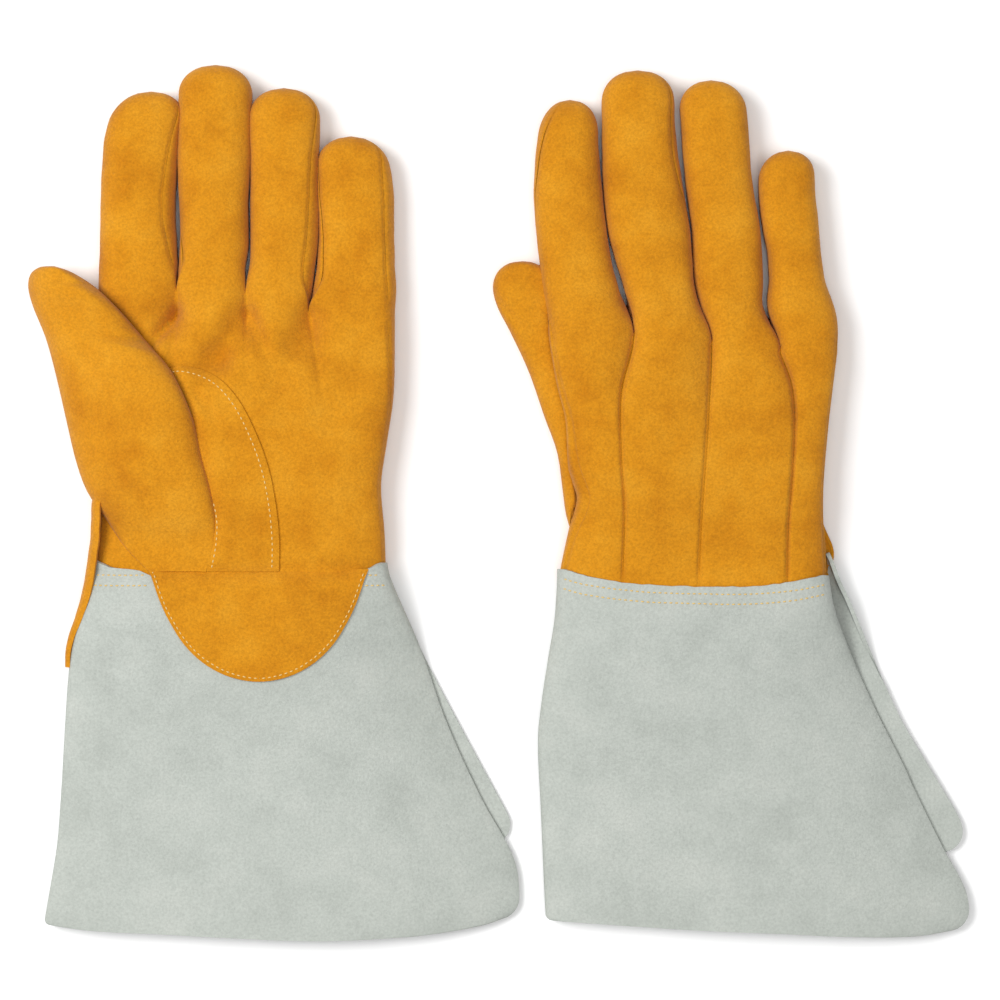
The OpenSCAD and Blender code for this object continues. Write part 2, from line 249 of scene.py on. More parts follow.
RIGHT = SimpleNamespace(
    name="right", palm_up=False, seed=2,
    edge=(
        through((0, -55), (5, -54.4), (21, -51), (33, -48), (39, -49.4), (46, -51.4), (65, -52.6),
                (80, -56.2), (94, -58.6), (104, -60)),
        through((0, 53.6), (33, 52.2), (61, 54.2), (80, 56.4), (97, 58.4), (104, 58))),
    seams=(
        through((0, -29.3), (30, -28.6), (51, -30), (76, -30), (98, -25), (109, -27.6)),
        through((0, 1.5), (30, 2.8), (52, 4.3), (73, 5.6), (95, 6.6), (101, 5), (108, 2.8)),
        through((0, 37.5), (23, 37.8), (44, 39.4), (66, 40.3), (80, 39), (92, 34.6), (97, 32.4),
                (104, 30))),
    crotch_up=(94, 98, 95, 92, 90),
    crotch_down=(104, 109, 108, 103, 97),
    centre=(
        through((94, -42.4), (104, -43.2), (118, -46.2), (128, -48.1), (141, -49.9), (160, -51.4),
                (195, -51.6)),
        through((94, -9), (107, -11.4), (118, -14.2), (128, -16.2), (141, -18.4), (160, -20.9),
                (182, -22.6), (207, -23)),
        through((94, 20.4), (100, 18.2), (111, 15), (121, 13.9), (133, 13.3), (143, 12.7), (162, 9.9),
                (182, 8.4), (203, 7.6)),
        through((90, 46), (100, 45.2), (108, 43.8), (114, 42.6), (122, 41.6), (133, 40.5), (143, 39.1),
                (162, 37.2), (174, 37.4))),
    width=(
        through((94, 32.6), (104, 32.2), (118, 31.2), (128, 30.1), (141, 29), (160, 27.2), (182, 24.4),
                (195, 22.6)),
        through((94, 31.4), (107, 29.4), (118, 29.4), (128, 30.7), (141, 33), (154, 32.6), (182, 30.8),
                (207, 28.6)),
        through((94, 26), (100, 25.6), (111, 25), (121, 27.4), (133, 28.2), (162, 27.8), (203, 26)),
        through((90, 23.6), (100, 26.4), (108, 27.6), (114, 26.4), (122, 23.4), (133, 21.9), (143, 22.5),
                (174, 23))),
    tip=(195, 207, 203, 174.4),
    tip_skew=(1.0, 0.0, -0.8, 0.8),
    corners={
        (0, "left"): through((96, 0.985), (150, 0.97), (176, 0.84), (190, 0.62)),
        (1, "right"): through((96, 0.985), (150, 0.97), (170, 0.84), (195, 0.9))},
    hand_corner=(
        through((0, 0.97), (18, 0.94), (28, 0.9), (38, 0.9), (60, 0.95), (100, 0.985)),
        through((0, 0.985), (100, 0.985))),
    cuff_rim=through((-56, 4.6), (-44, 1.4), (-20, -1.6), (22, -2.4), (40, -0.8), (56, 2.2)),
    thumb_left=((-42, -2), (-47, 12), (-51.8, 25), (-53.6, 37), (-55.8, 52), (-60.8, 66), (-67.4, 85),
        (-74.9, 101), (-80, 111), (-81.9, 119), (-80.2, 125), (-75.8, 128.6), (-70, 129.7)),
    thumb_right=(*THUMB_SEWN, (-26, 76),
        (-34, 91), (-43, 106), (-53, 119), (-60, 126.4), (-66, 129.4)),
    patch_shift=0.0,
    cuff_l=145,
    mouth=through((-1, -6.6), (-0.76, -5.4), (-0.29, -3), (0.185, -1.4), (0.47, -0.2), (0.82, 0), (1, -2)),
    cuff_left=through((-145, -60.4), (-130, -61.1), (-97, -62.4), (-65, -63.6), (-48.6, -62),
        (-32, -59.5), (-16, -56.9), (0, -55.8)),
    cuff_top=through((-145, 112.6), (-129, 111), (-111, 101.8), (-84, 89), (-76, 85.6), (-53, 74.2),
        (-27, 62.8), (-11, 56.8), (2, 54.4)),
    cuff_low=through((-111, 112.6), (-103, 110.4), (-97, 108.2), (-89, 103.7), (-73, 94), (-57, 84.6),
        (-40, 76.8), (-24, 70), (-8, 63.2), (0, 59.4), (9, 56), (17, 52)),
    cuff_low_l=136,
    cuff_low_end=111)

GLOVES = (LEFT, RIGHT)
# (u, v) of the crescent patch, from the thumb crotch down to the wrist seam
CRESCENT_OUT = ((-34, 79), (-22, 81), (-10, 77), (-1, 68), (6, 55), (11.5, 40), (14.6, 24),
                (15.8, 10), (15.6, -2))
CRESCENT_IN = ((-38, 74), (-31, 70), (-24, 62), (-21, 52), (-18, 40), (-15.5, 28), (-13.5, 18),
               (-14, 8), (-16, -2))


def find_place(shape):
    """The glove's frame in the row frame: the wrist seam is the cuff's upper end."""
    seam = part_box(shape.name + "_cuff_front")[1][1]
    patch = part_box(shape.name + "_wrist_patch")
    shape.origin = Vector(((patch[0][0] + patch[1][0]) / 2 - PATCH_U * MM, seam, 0))


def world(shape, p):
    return shape.origin + Vector(p) * MM


for glove in GLOVES:
    find_place(glove)


# -------- heights of the hand

def strip_edges(shape, v):
    """u of the five edges of the four finger strips at v."""
    left, right = shape.edge
    return [left(v), *(seam(v) for seam in shape.seams), right(v)]


def strip_at(edges, u):
    """Which strip u is on, and where across it, from -1 to 1."""
    f = 0
    while f < 3 and u > edges[f + 1]:
        f += 1
    middle, half = (edges[f] + edges[f + 1]) / 2, (edges[f + 1] - edges[f]) / 2
    return f, clamp((u - middle) / half, -1, 1)


def thumb_mask(shape, u, v):
    """1 under the middle of the thumb tube, 0 away from it."""
    right = thumb_edge_u(shape, v)
    low = step(-6, 16, v) * 0.8 if shape.palm_up else 0.0
    return step(right + 5, right - 7, u) * max(step(30, 66, v), low) * step(128, 112, v)


def thumb_edge_u(shape, v):
    pairs = shape.thumb_right
    for (u0, v0), (u1, v1) in zip(pairs, pairs[1:]):
        if v <= v1:
            return lerp(u0, u1, clamp((v - v0) / (v1 - v0)))
    return pairs[-1][0]


def crotch_line(shape, up, f, across):
    """v of the crotch row on strip f, at -1 to 1 across it."""
    line = shape.crotch_up if up else shape.crotch_down
    base = lerp(line[f], line[f + 1], (across + 1) / 2)
    return base + 2.5 * (1 - across * across)


def hand_height(shape, u, v, up, seams=1.0):
    """Height of the hand's upper or lower skin at (u, v), from the wrist to the crotches.
    seams is how deep the seams of the back are drawn in, from 0 to 1."""
    edges = strip_edges(shape, v)
    f, across = strip_at(edges, u)
    middle, half = (edges[0] + edges[4]) / 2, (edges[4] - edges[0]) / 2
    over = clamp((u - middle) / half, -1, 1)
    h = lerp(WRIST_H, HAND_H, step(0, 45, v))
    mid = MIDDLE * h
    as_tube = step(48, 0, crotch_line(shape, up, f, across) - v) ** 1.4
    if up:
        whole = mid + (h - mid) * arch(over, 3.6)
        tube = mid + (FINGER_H[f] - mid) * arch(across * CORNER, ROUND)
    else:
        whole = mid - mid * arch(over, FLAT)
        tube = mid - mid * arch(across * CORNER, LOW_ROUND)
    z = lerp(whole, tube, as_tube)
    sign = 1 if up else -1
    edge_gap = min(abs(u - e) for e in edges[1:4])
    if up != shape.palm_up:  # the back: the strips' seams run down to the wrist
        fade = step(-6, 6, v) * seams
        z -= sign * fade * (2.0 * hump(edge_gap, 0, 0.55) + 0.5 * hump(edge_gap, 0, 5))
    else:
        z -= sign * seam_dip(v)
    pressed = thumb_mask(shape, u, v)
    if up:
        z += 1.1 * rumple(u, v, 34, shape.seed) + 0.5 * rumple(u, v, 11, shape.seed + 3)
        if shape.palm_up:
            z -= 6.5 * pressed
            z += palm_folds(u, v)
        else:
            z += 6.0 * wide_lift(u, v)
    elif not shape.palm_up:
        z += 11.5 * pressed + 2.0 * wide_lift(u, v) + 1.5 * step(95, 75, v)
    return z


def seam_dip(v):
    """How far the palm face is drawn in at the wrist seam."""
    return 1.8 * hump(v, SEAM_V, 2.6)


def wide_lift(u, v):
    """How far the thumb underneath props the hand up round it."""
    return step(25, -45, u) * step(5, 70, v) * step(175, 105, v)


# folds of the empty palm: from (u, v) to (u, v), half width, depth
FOLDS = (((-26, 103), (-37, 89), 2.1, 5.8), ((-28, 99), (-44, 95), 8.0, 5.6),
         ((-2, 98), (-13, 78), 6.0, 4.4), ((4, 102), (10.5, 86), 3.2, 4.8),
         ((11, 88), (20, 82), 5.0, -1.8), ((27, 98), (16, 77), 6.5, 4.2),
         ((-8, 84), (-27, 84), 5.0, 4.2), ((-18, 71), (-9, 58), 1.8, 2.2),
         ((48, 82), (38, 62), 9.0, 1.8))


def palm_folds(u, v):
    z = 0.0
    here = Vector((u, v))
    for start, end, wide, deep in FOLDS:
        a, b = Vector(start), Vector(end)
        line = b - a
        t = (here - a).dot(line) / line.length_squared
        off = (here - a.lerp(b, clamp(t))).length
        z -= deep * hump(off, 0, wide) * (1 - 0.35 * clamp(t))
    return z


# -------- the sewn skin

def tip_shrink(v, tip, cap):
    """Width left at v as a fingertip rounds off over its last cap millimetres."""
    s = clamp((v - (tip - cap)) / cap)
    return max(1 - s ** 2.5, 0.0) ** 0.5


def finger_section(shape, f, v):
    """Centre, half width, middle height and the heights above and below it at v."""
    tip = shape.tip[f]
    shrink = tip_shrink(v, tip, TIP_CAP[f])
    base = crotch_line(shape, True, f, 0)
    along = clamp((v - base) / (tip - base))
    h = FINGER_H[f] * lerp(1, 0.9, along)
    wave = 1 + 0.02 * math.sin(along * 9 + f * 2 + shape.seed) + 0.02 * rumple(f * 9, v, 9, 61)
    half = shape.width[f](v) / 2 * wave * (0.06 + 0.94 * shrink)
    mid = MIDDLE * HAND_H * lerp(1, 0.86, along)
    tall = 0.12 + 0.88 * shrink ** 0.8
    u = shape.centre[f](v) + shape.tip_skew[f] * step(tip - 22, tip, v)
    lift = 0.0 if shape.palm_up else 3.0 * wide_lift(u, v)
    return u, half, mid + lift, (h - mid) * tall, mid * tall


def finger_rumple(shape, f, u, v):
    along = v - crotch_line(shape, True, f, 0)
    ripple = 0.55 * math.sin(v / 5.2 + 1.5 * rumple(u, v, 16, f + 2)) * hump(along, 12, 26)
    return ripple + 0.8 * rumple(u, v, 21, shape.seed + f) + 0.35 * rumple(u, v, 7, f + 9)


def finger_point(shape, f, v, face, j, inset=0.0):
    """A point of the finger's skin. face is up, down, left or right and j counts along it."""
    u, half, mid, rise, drop = finger_section(shape, f, v)
    half, rise, drop = half - inset, max(rise - inset, 0.3), max(drop - inset, 0.3)
    if face == "up":
        across = lerp(-corner(shape, f, "left", v), corner(shape, f, "right", v), (spread(j) + 1) / 2)
        bump = finger_rumple(shape, f, u + across * half, v) * arch(across, 2) * step(0, 6, rise)
        groove = seam_draw(shape, f, "left" if j == 0 else "right", v) if j in (0, COLUMNS) else 0.0
        return Vector((u + half * across, v, mid + rise * arch(across, ROUND) + bump - groove))
    if face == "down":
        across = CORNER * spread(j)
        return Vector((u + half * across, v, mid - drop * arch(across, LOW_ROUND)))
    turn = math.cos(math.pi * SIDE_TURNS[j])
    height, power = (rise, ROUND) if turn > 0 else (drop, LOW_ROUND)
    edge = corner(shape, f, face, v) if turn > 0 else CORNER
    z = turn * height * arch(edge, power)
    out = half * arch(z / height, power)
    if j == 0:
        z -= seam_draw(shape, f, face, v)
    return Vector((u + (out if face == "right" else -out), v, mid + z))


def spread(j):
    """Column j's place across a strip, from -1 to 1: they are closer together by its seams."""
    x = 2 * j / COLUMNS - 1
    return 0.45 * x + 0.55 * math.sin(x * math.pi / 2)


def corner(shape, f, side, v):
    """How far out across finger f, 0 to 1, its upper strip meets the strip of its side."""
    line = shape.corners.get((f, side))
    return line(v) if line else NO_SEAM


def seam_draw(shape, f, side, v):
    """How far the seam beside finger f's upper strip is drawn in at v."""
    shows = step(NO_SEAM, 0.92, corner(shape, f, side, v))
    return SEAM_DEEP * shows * step(shape.tip[f] - 1, shape.tip[f] - 12, v)


class Skin:
    """Grid of named points and tagged faces, before it is cut into pieces."""

    def __init__(self):
        self.points, self.ids, self.faces = [], {}, []

    def point(self, key, make, c, r):
        if key not in self.ids:
            self.ids[key] = len(self.points)
            self.points.append(make(c, r))
        return self.ids[key]

    def grid(self, key, make, columns, rows, tag, flip):
        """Faces between columns 0..columns and rows 0..rows. key and make take (column, row)."""
        ids = [[self.point(key(c, r), make, c, r) for c in range(columns + 1)]
               for r in range(rows + 1)]
        for r in range(rows):
            for c in range(columns):
                quad = [ids[r][c], ids[r][c + 1], ids[r + 1][c + 1], ids[r + 1][c]]
                if len(set(quad)) > 2:
                    self.faces.append((quad[::-1] if flip else quad, tag))


def hand_skin_point(shape, up, g, r):
    """A point of the hand's upper or lower skin: column g across it and row r along it."""
    f = min(g // COLUMNS, 3)
    across = spread(g - f * COLUMNS)
    v = lerp(HAND_START, crotch_line(shape, up, f, across), r / HAND_ROWS)
    edges = strip_edges(shape, v)
    u = lerp(edges[f], edges[f + 1], (across + 1) / 2)
    middle, half = (edges[0] + edges[4]) / 2, (edges[4] - edges[0]) / 2
    # the outermost columns stop short of the side strips
    inside = shape.hand_corner[0 if u < middle else 1](v) if up else NO_SEAM
    u = middle + (u - middle) * lerp(1, inside, abs((u - middle) / half) ** 6)
    z = hand_height(shape, u, v, up)
    if g in (0, LAST_COLUMN) and up:
        z -= SEAM_DEEP
    if not up and not shape.palm_up and u > middle:
        # the loose corner of the palm by the cuff's slit
        u += 5.0 * hump(v, 11, 10) * step(0.7, 1, (u - middle) / half)
    return Vector((u, v, z))


def side_point(shape, g, i, r):
    """A point of the hand's outer side, between its upper and lower skin."""
    top, low = (hand_skin_point(shape, up, g, r) for up in (True, False))
    t = SIDE_TURNS[i]
    edge = shape.edge[0 if g == 0 else 1](lerp(top.y, low.y, t))
    out = math.sin(math.pi * t) ** 0.7
    p = top.lerp(low, t)
    p.z = lerp(top.z, low.z, (1 - math.cos(math.pi * t)) / 2)
    p.x = lerp(p.x, edge, out)
    return p


def build_skin(shape):
    """The whole hand with its four fingers."""
    skin = Skin()
    for up in (True, False):
        face = "up" if up else "down"
        for f in range(4):
            part = "palm" if up == shape.palm_up else "back_" + FINGERS[f]
            skin.grid(lambda c, r: ("h", face, f * COLUMNS + c, r),
                      lambda c, r: hand_skin_point(shape, up, f * COLUMNS + c, r),
                      COLUMNS, HAND_ROWS, ("hand", part), not up)
    for g, f in ((0, 0), (LAST_COLUMN, 3)):
        def key(c, r):
            if c in (0, SIDE):
                return ("h", "up" if c == 0 else "down", g, r)
            return ("s", g, c, r)
        skin.grid(key, lambda c, r: side_point(shape, g, c, r),
                  SIDE, HAND_ROWS, ("hand", "back_" + FINGERS[f]), g == 0)
    for f in range(4):
        add_finger(skin, shape, f)
    return skin


def add_finger(skin, shape, f):
    """Finger f, sewn on to the hand's last row."""
    rows = round((shape.tip[f] - crotch_line(shape, True, f, 0)) / ROW) + 4

    def row_v(face, c, r):
        """Rows fan from the slanting crotch to the tip, closing up towards the tip."""
        t = r / rows
        across = {"left": -1, "right": 1}.get(face, spread(c))
        top, low = (crotch_line(shape, up, f, across) for up in (True, False))
        if face in ("left", "right"):
            base = lerp(top, low, SIDE_TURNS[c])
        else:
            base = top if face == "up" else low
        return lerp(base, shape.tip[f], lerp(t, math.sin(t * math.pi / 2), 0.65))

    def key(face, c, r):
        if face in ("left", "right") and c in (0, SIDE):
            edge = 0 if face == "left" else COLUMNS
            return key("up" if c == 0 else "down", edge, r)
        if r == 0:
            if face in ("up", "down"):
                return ("h", face, f * COLUMNS + c, HAND_ROWS)
            if (f, face) in ((0, "left"), (3, "right")):
                return ("s", LAST_COLUMN if f else 0, c, HAND_ROWS)
            return ("c", f if face == "left" else f + 1, c)
        if r == rows:
            return ("tip", f)
        return ("f", f, face, c, r)

    def make(face, c, r):
        if r == rows:
            u, _, mid, _, _ = finger_section(shape, f, shape.tip[f])
            return Vector((u, shape.tip[f] + 0.3, mid))
        if r == 0 and face in ("left", "right"):
            return crotch_point(shape, f if face == "left" else f + 1, c)
        p = finger_point(shape, f, row_v(face, c, r), face, c)
        if r <= EASE:  # eases out of the hand's own skin
            t = step(0, EASE, r)
            if face in ("up", "down"):
                hand = hand_skin_point(shape, face == "up", f * COLUMNS + c, HAND_ROWS)
                hand.z = hand_height(shape, p.x, p.y, face == "up", (1 - t) ** 4)
            elif (f, face) in ((0, "left"), (3, "right")):
                hand = side_point(shape, LAST_COLUMN if f else 0, c, HAND_ROWS)
            else:
                hand = crotch_point(shape, f if face == "left" else f + 1, c)
            p.x, p.z = lerp(hand.x, p.x, t), lerp(hand.z, p.z, t)
        return p

    for face, count, flip in (("up", COLUMNS, False), ("down", COLUMNS, True),
                              ("left", SIDE, True), ("right", SIDE, False)):
        part = {"up": "front", "down": "back"}.get(face, "sides")
        if part != "sides" and not shape.palm_up:
            part = "back" if face == "up" else "front"
        skin.grid(lambda c, r: key(face, c, r), lambda c, r: make(face, c, r),
                  count, rows, (FINGERS[f], part), flip)


def crotch_point(shape, k, i):
    """A point of the web between fingers k - 1 and k, from its upper end down."""
    t = SIDE_TURNS[i]
    top_v, low_v = shape.crotch_up[k], shape.crotch_down[k]
    seam = shape.seams[k - 1]
    top = Vector((seam(top_v), top_v, hand_height(shape, seam(top_v), top_v, True)))
    low = Vector((seam(low_v), low_v, hand_height(shape, seam(low_v), low_v, False)))
    p = top.lerp(low, t)
    p.y += 2.5 * math.sin(math.pi * t)
    p.x = seam(p.y)
    return p


# -------- making Blender pieces

def new_mesh(name, points, faces, slot):
    mesh = bpy.data.meshes.new(name)
    mesh.from_pydata([tuple(p) for p in points], [], faces)
    mesh.validate()
    mesh.update()
    mesh.shade_smooth()
    obj = bpy.data.objects.new(name, mesh)
    bpy.context.collection.objects.link(obj)
    mesh.materials.append(MATERIALS[slot])
    return obj


def thick_piece(name, shape, points, faces, normals, thickness, slot, share=None):
    """Leather with its outer skin at points, its inner skin below and a cut edge round it.
    share, if given, is the part of the thickness left at a point."""
    used = sorted({i for face in faces for i in face})
    place = {i: n for n, i in enumerate(used)}
    count = len(used)
    outer = [world(shape, points[i]) for i in used]
    depth = {i: thickness * (share(points[i]) if share else 1) for i in used}
    inner = [world(shape, points[i] - normals[i] * depth[i]) for i in used]
    quads = [[place[i] for i in face] for face in faces]
    edges = dict.fromkeys((a, b) for quad in quads for a, b in zip(quad, quad[1:] + quad[:1]))
    rim = [(a, b) for a, b in edges if (b, a) not in edges and a != b]
    shell = quads + [[i + count for i in quad[::-1]] for quad in quads]
    shell += [[b, a, a + count, b + count] for a, b in rim]
    shell = [list(dict.fromkeys(face)) for face in shell]
    obj = new_mesh(name, outer + inner, shell, slot)
    vectors = []
    for polygon in obj.data.polygons:
        for v in polygon.vertices:
            if polygon.index < len(quads):
                vectors.append(normals[used[v]])
            elif polygon.index < 2 * len(quads):
                vectors.append(-normals[used[v - count]])
            else:
                vectors.append(polygon.normal)
    obj.data.normals_split_custom_set([tuple(v) for v in vectors])
    return obj


def grid_normals(points, faces):
    """The normal at each point, from the faces round it."""
    total = [Vector() for _ in points]
    for face in faces:
        first, *others = (points[i] for i in face)
        n = Vector()
        for a, b in zip(others, others[1:]):
            n += (a - first).cross(b - first)
        for i in face:
            total[i] += n
    return [n.normalized() if n.length > 0 else Vector((0, 0, 1)) for n in total]


def sheet_piece(name, shape, points, faces, thickness, slot):
    return thick_piece(name, shape, points, faces, grid_normals(points, faces), thickness, slot)


def sheet_grid(make, columns, rows):
    """Points and faces of a plain grid."""
    points = [make(c, r) for r in range(rows + 1) for c in range(columns + 1)]
    wide = columns + 1
    faces = [[r * wide + c, r * wide + c + 1, (r + 1) * wide + c + 1, (r + 1) * wide + c]
             for r in range(rows) for c in range(columns)]
    return points, faces


# -------- materials

class Look:
    """A material, with short ways to add nodes to it."""

    def __init__(self, name):
        self.material = bpy.data.materials.new(name)
        self.material.use_nodes = True
        self.nodes, self.links = self.material.node_tree.nodes, self.material.node_tree.links
        self.shader = self.nodes["Principled BSDF"]

    def noise(self, scale, detail, rough):
        where = self.nodes.new("ShaderNodeTexCoord").outputs["Object"]
        tex = self.nodes.new("ShaderNodeTexNoise")
        tex.inputs["Scale"].default_value = scale
        tex.inputs["Detail"].default_value = detail
        tex.inputs["Roughness"].default_value = rough
        self.links.new(where, tex.inputs["Vector"])
        return tex.outputs["Fac"]

    def ramp(self, value, stops):
        node = self.nodes.new("ShaderNodeValToRGB")
        elements = node.color_ramp.elements
        while len(elements) < len(stops):
            elements.new(0.5)
        for element, (place, colour) in zip(elements, stops):
            element.position = place
            element.color = (*colour, 1)
        self.links.new(value, node.inputs["Fac"])
        return node.outputs["Color"]

    def multiply(self, a, b):
        node = self.nodes.new("ShaderNodeMix")
        node.data_type = "RGBA"
        node.blend_type = "MULTIPLY"
        node.inputs["Factor"].default_value = 1.0
        self.links.new(a, node.inputs["A"])
        self.links.new(b, node.inputs["B"])
        return node.outputs["Result"]

    def bump(self, height, strength, distance, under=None):
        """A bump of the height, over the normal under it if one is given."""
        node = self.nodes.new("ShaderNodeBump")
        node.inputs["Strength"].default_value = strength
        node.inputs["Distance"].default_value = distance
        self.links.new(height, node.inputs["Height"])
        if under:
            self.links.new(under, node.inputs["Normal"])
        return node.outputs["Normal"]

    def finish(self, colour, normal, **values):
        """Sets the surface: values are inputs of the shader, by name."""
        self.links.new(colour, self.shader.inputs["Base Color"])
        self.links.new(normal, self.shader.inputs["Normal"])
        for name, value in values.items():
            self.shader.inputs[name.replace("_", " ")].default_value = value
        return self.material


def linear(r, g, b):
    """A colour given as 0 to 255 in sRGB, made linear."""
    return tuple((c / 255 / 12.92) if c <= 10 else ((c / 255 + 0.055) / 1.055) ** 2.4
                 for c in (r, g, b))


def suede(name, deep, middle, pale, sheen, speckle):
    """Split leather: cloudy colour, short nap and fine pits."""
    look = Look(name)
    cloud = look.ramp(look.noise(42, 5, 0.62), [(0.3, deep), (0.5, middle), (0.72, pale)])
    grain = look.ramp(look.noise(950, 4, 0.75), [(0.3, (1 - speckle,) * 3), (0.62, (1.0,) * 3)])
    nap = look.bump(look.noise(900, 4, 0.75), 0.55, 0.0006)
    lumps = look.bump(look.noise(160, 4, 0.6), 0.3, 0.001, nap)
    return look.finish(look.multiply(cloud, grain), lumps, Roughness=0.95, Specular_IOR_Level=0.15,
                       Sheen_Weight=sheen, Sheen_Roughness=0.5)


def thread_material():
    look = Look("thread")
    twist = look.noise(2500, 2, 0.5)
    colour = look.ramp(twist, [(0.3, linear(210, 172, 96)), (0.7, linear(230, 200, 132))])
    return look.finish(colour, look.bump(twist, 0.4, 0.0002), Roughness=0.7)


MATERIALS = {
    GOLD: suede("gold_suede", linear(192, 121, 14), linear(207, 137, 22),
                linear(216, 149, 33), 0.10, 0.30),
    GREY: suede("grey_suede", linear(172, 177, 170), linear(180, 185, 178),
                linear(187, 191, 184), 0.08, 0.20),
    LINING: suede("lining", linear(195, 188, 172), linear(210, 204, 190),
                  linear(222, 218, 206), 0.3, 0.2),
    THREAD: thread_material(),
}


# -------- hands and fingers

def ride_hand(obj, shape):
    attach(obj, shape.name + "_hand")


def bend_with(obj, shape, part, stretch):
    """Finds the stretch, in millimetres along the tube from its base crease, over which the piece would
    turn, and bakes the piece's placement; nothing turns it.
    """
    hand, tube = shape.name + "_hand", shape.name + "_" + part
    joint = next(j for j in frame["joints"] if j["child"] == tube)
    pos, axis = Vector(joint["pos_m"]), Vector(joint["axis"])
    up = Vector((0, 0, 1 if shape.palm_up else -1))
    along = up.cross(axis).normalized()
    start, end = (pos + along * place * MM for place in stretch)
    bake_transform(obj)
    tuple(start)
    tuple(end)


def make_hand(shape):
    skin = build_skin(shape)
    normals = grid_normals(skin.points, [face for face, _ in skin.faces])
    parts = {}
    for face, tag in skin.faces:
        parts.setdefault(tag, []).append(face)
    for (region, part), faces in parts.items():
        if region == "hand":
            node = shape.name + ("_palm_panel" if part == "palm" else "_" + part)
            obj = thick_piece(node + "_leather", shape, skin.points, faces, normals,
                              LEATHER, GOLD)
            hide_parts(node)
            ride_hand(obj, shape)
        else:
            node = f"{shape.name}_{region}_{part}"
            end = shape.tip[FINGERS.index(region)]
            obj = thick_piece(node + "_leather", shape, skin.points, faces, normals,
                              LEATHER, GOLD, lambda p: clamp((end + 0.3 - p.y) / 9, 0.12, 1))
            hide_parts(node)
            bend_with(obj, shape, region, FINGER_BEND)


def ring_points(shape, f, v, inset):
    """The skin of finger f at v as one loop of points, inset millimetres inside."""
    ring = [finger_point(shape, f, v, "up", j, inset) for j in range(0, COLUMNS + 1, 3)]
    ring += [finger_point(shape, f, v, "right", j, inset) for j in (2, 4, 6)]
    ring += [finger_point(shape, f, v, "down", j, inset) for j in range(COLUMNS, -1, -3)]
    ring += [finger_point(shape, f, v, "left", j, inset) for j in (6, 4, 2)]
    return ring


def fleece_piece(name, shape, rings, close_end):
    """A fleece tube through loops of points that run clockwise seen from the wrist."""
    count = len(rings[0])
    points = [p for ring in rings for p in ring]
    faces = []
    for r in range(len(rings) - 1):
        for c in range(count):
            d = (c + 1) % count
            faces.append([r * count + c, r * count + d, (r + 1) * count + d, (r + 1) * count + c])
    if close_end:
        last = (len(rings) - 1) * count
        points.append(sum(rings[-1], Vector()) / count)
        faces += [[last + c, last + (c + 1) % count, len(points) - 1] for c in range(count)]
    return sheet_piece(name, shape, points, faces, FLEECE, LINING)


def make_finger_lining(shape, f):
    base = max(crotch_line(shape, up, f, 0) for up in (True, False)) + 7
    tip = shape.tip[f] - 4.0
    rows = 16
    rings = []
    for r in range(rows + 1):
        v = lerp(base, tip, math.sin(r / rows * math.pi / 2))
        rings.append(ring_points(shape, f, v, lerp(4.2, LINING_IN, step(0, 6, r))))
    node = f"{shape.name}_{FINGERS[f]}_lining"
    obj = fleece_piece(node + "_fleece", shape, rings, True)
    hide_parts(node)
    bend_with(obj, shape, FINGERS[f], FINGER_BEND)


def make_hand_lining(shape):
    """The fleece bag in the hand, from its mouth inside the cuff to the crotches."""
    rings = []
    rows, across = 26, 18
    for r in range(rows + 1):
        v = lerp(-9, min(shape.crotch_up[4], shape.crotch_down[4]) - 16, r / rows)
        deep = lerp(LINING_IN, 4.5, r / rows)
        left, right = (edge(v) for edge in shape.edge)
        left, right = left + deep + 1.5, right - deep - 1.5
        us = [lerp(left, right, (1 - math.cos(math.pi * c / across)) / 2)
              for c in range(across + 1)]
        top = [Vector((u, v, hand_height(shape, u, v, True) - deep)) for u in us]
        low = [Vector((u, v, hand_height(shape, u, v, False) + deep)) for u in us]
        rings.append(top + low[::-1])
    node = shape.name + "_hand_lining"
    obj = fleece_piece(node + "_fleece", shape, rings, False)
    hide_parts(node)
    ride_hand(obj, shape)


# -------- thumb

def along_list(pairs):
    """A smooth curve through a list of (u, v), with t from 0 to 1."""
    last = len(pairs) - 1
    us = through(*[(i / last, p[0]) for i, p in enumerate(pairs)])
    vs = through(*[(i / last, p[1]) for i, p in enumerate(pairs)])
    return lambda t: (us(t), vs(t))


